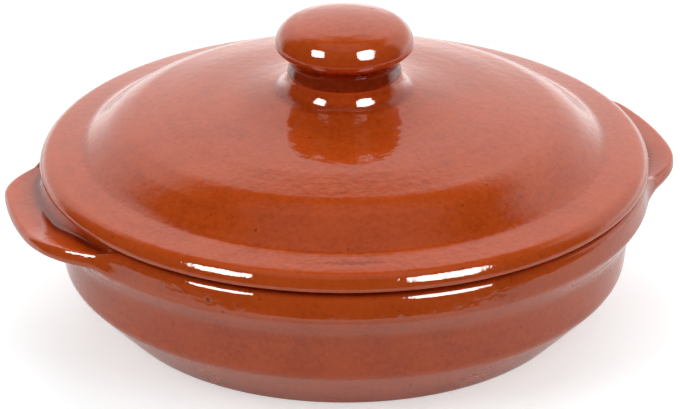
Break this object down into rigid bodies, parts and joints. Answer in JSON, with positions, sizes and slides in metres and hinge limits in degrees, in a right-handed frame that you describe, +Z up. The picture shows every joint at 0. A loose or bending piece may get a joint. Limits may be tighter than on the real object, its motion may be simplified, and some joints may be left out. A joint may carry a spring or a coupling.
{
  "type": "lidded casserole dish",
  "caption": "Round glazed earthenware casserole dish with a rolled rim, two flat lug handles and a domed lid with a turned knob, for baking, stewing and serving.",
  "frame": {"origin": "centre of the flat foot, on the surface that the dish stands on", "axes": "+Z up along the axis that dish, lid and knob are turned about, +X through the right handle"},
  "size_m": [0.2256, 0.2006, 0.1011],
  "materials": {
    "dish_glaze": "glossy clear brown glaze over red terracotta, foot unglazed",
    "lid_glaze": "glossy clear brown glaze over red terracotta"
  },
  "bodies": {
    "dish": {"bowl": "dish_glaze", "left_handle": "dish_glaze", "right_handle": "dish_glaze"},
    "lid": {"lid": "lid_glaze", "knob": "lid_glaze"}
  },
  "joints": [
    {"name": "lid_lift", "type": "slide", "parent": "dish", "child": "lid", "axis": [0, 0, 1], "range_m": [0, 0.12]}
  ]
}
